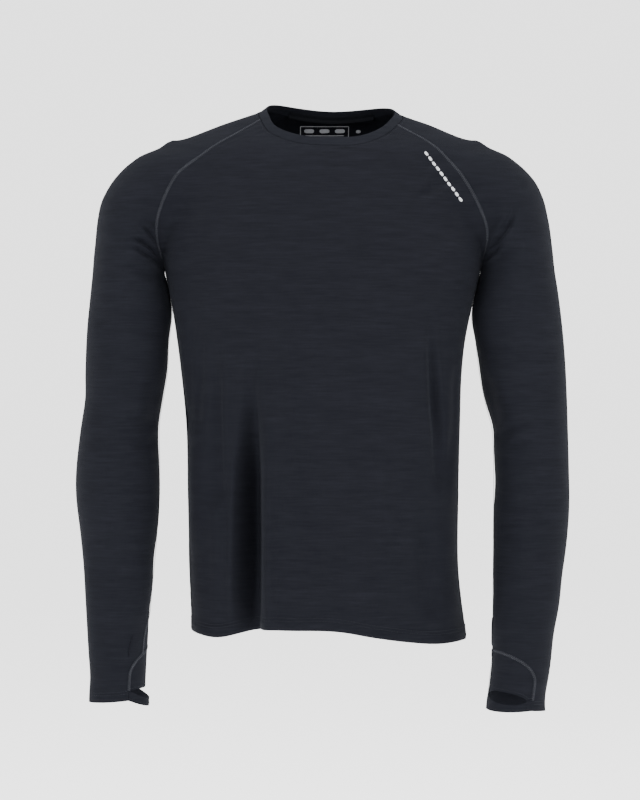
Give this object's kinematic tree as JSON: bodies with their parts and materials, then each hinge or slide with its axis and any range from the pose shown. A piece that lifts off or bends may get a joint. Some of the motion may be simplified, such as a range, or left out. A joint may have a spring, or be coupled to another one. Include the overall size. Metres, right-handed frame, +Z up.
{
  "type": "base layer top",
  "caption": "Long-sleeved raglan base layer top in thin dark jersey, round neck with a narrow band, thumb holes in the cuffs, filled out as when worn.",
  "frame": {"origin": "midway between the high points of the shoulders, inside the neck opening, where the wearer's shoulders hold the top up", "axes": "+Z up, -Y the way the front faces, +X towards the wearer's left"},
  "size_m": [0.6416, 0.2371, 0.7849],
  "materials": {
    "jersey": "matt brushed jersey",
    "tape": "woven tape"
  },
  "bodies": {
    "root": {"front_panel": "jersey", "back_panel": "jersey", "sleeve_left": "jersey", "sleeve_right": "jersey", "neckband": "jersey", "neck_tape": "tape", "thumb_gusset_left": "jersey", "thumb_gusset_right": "jersey", "thumb_loop_left": "jersey", "thumb_loop_right": "jersey"}
  },
  "joints": []
}
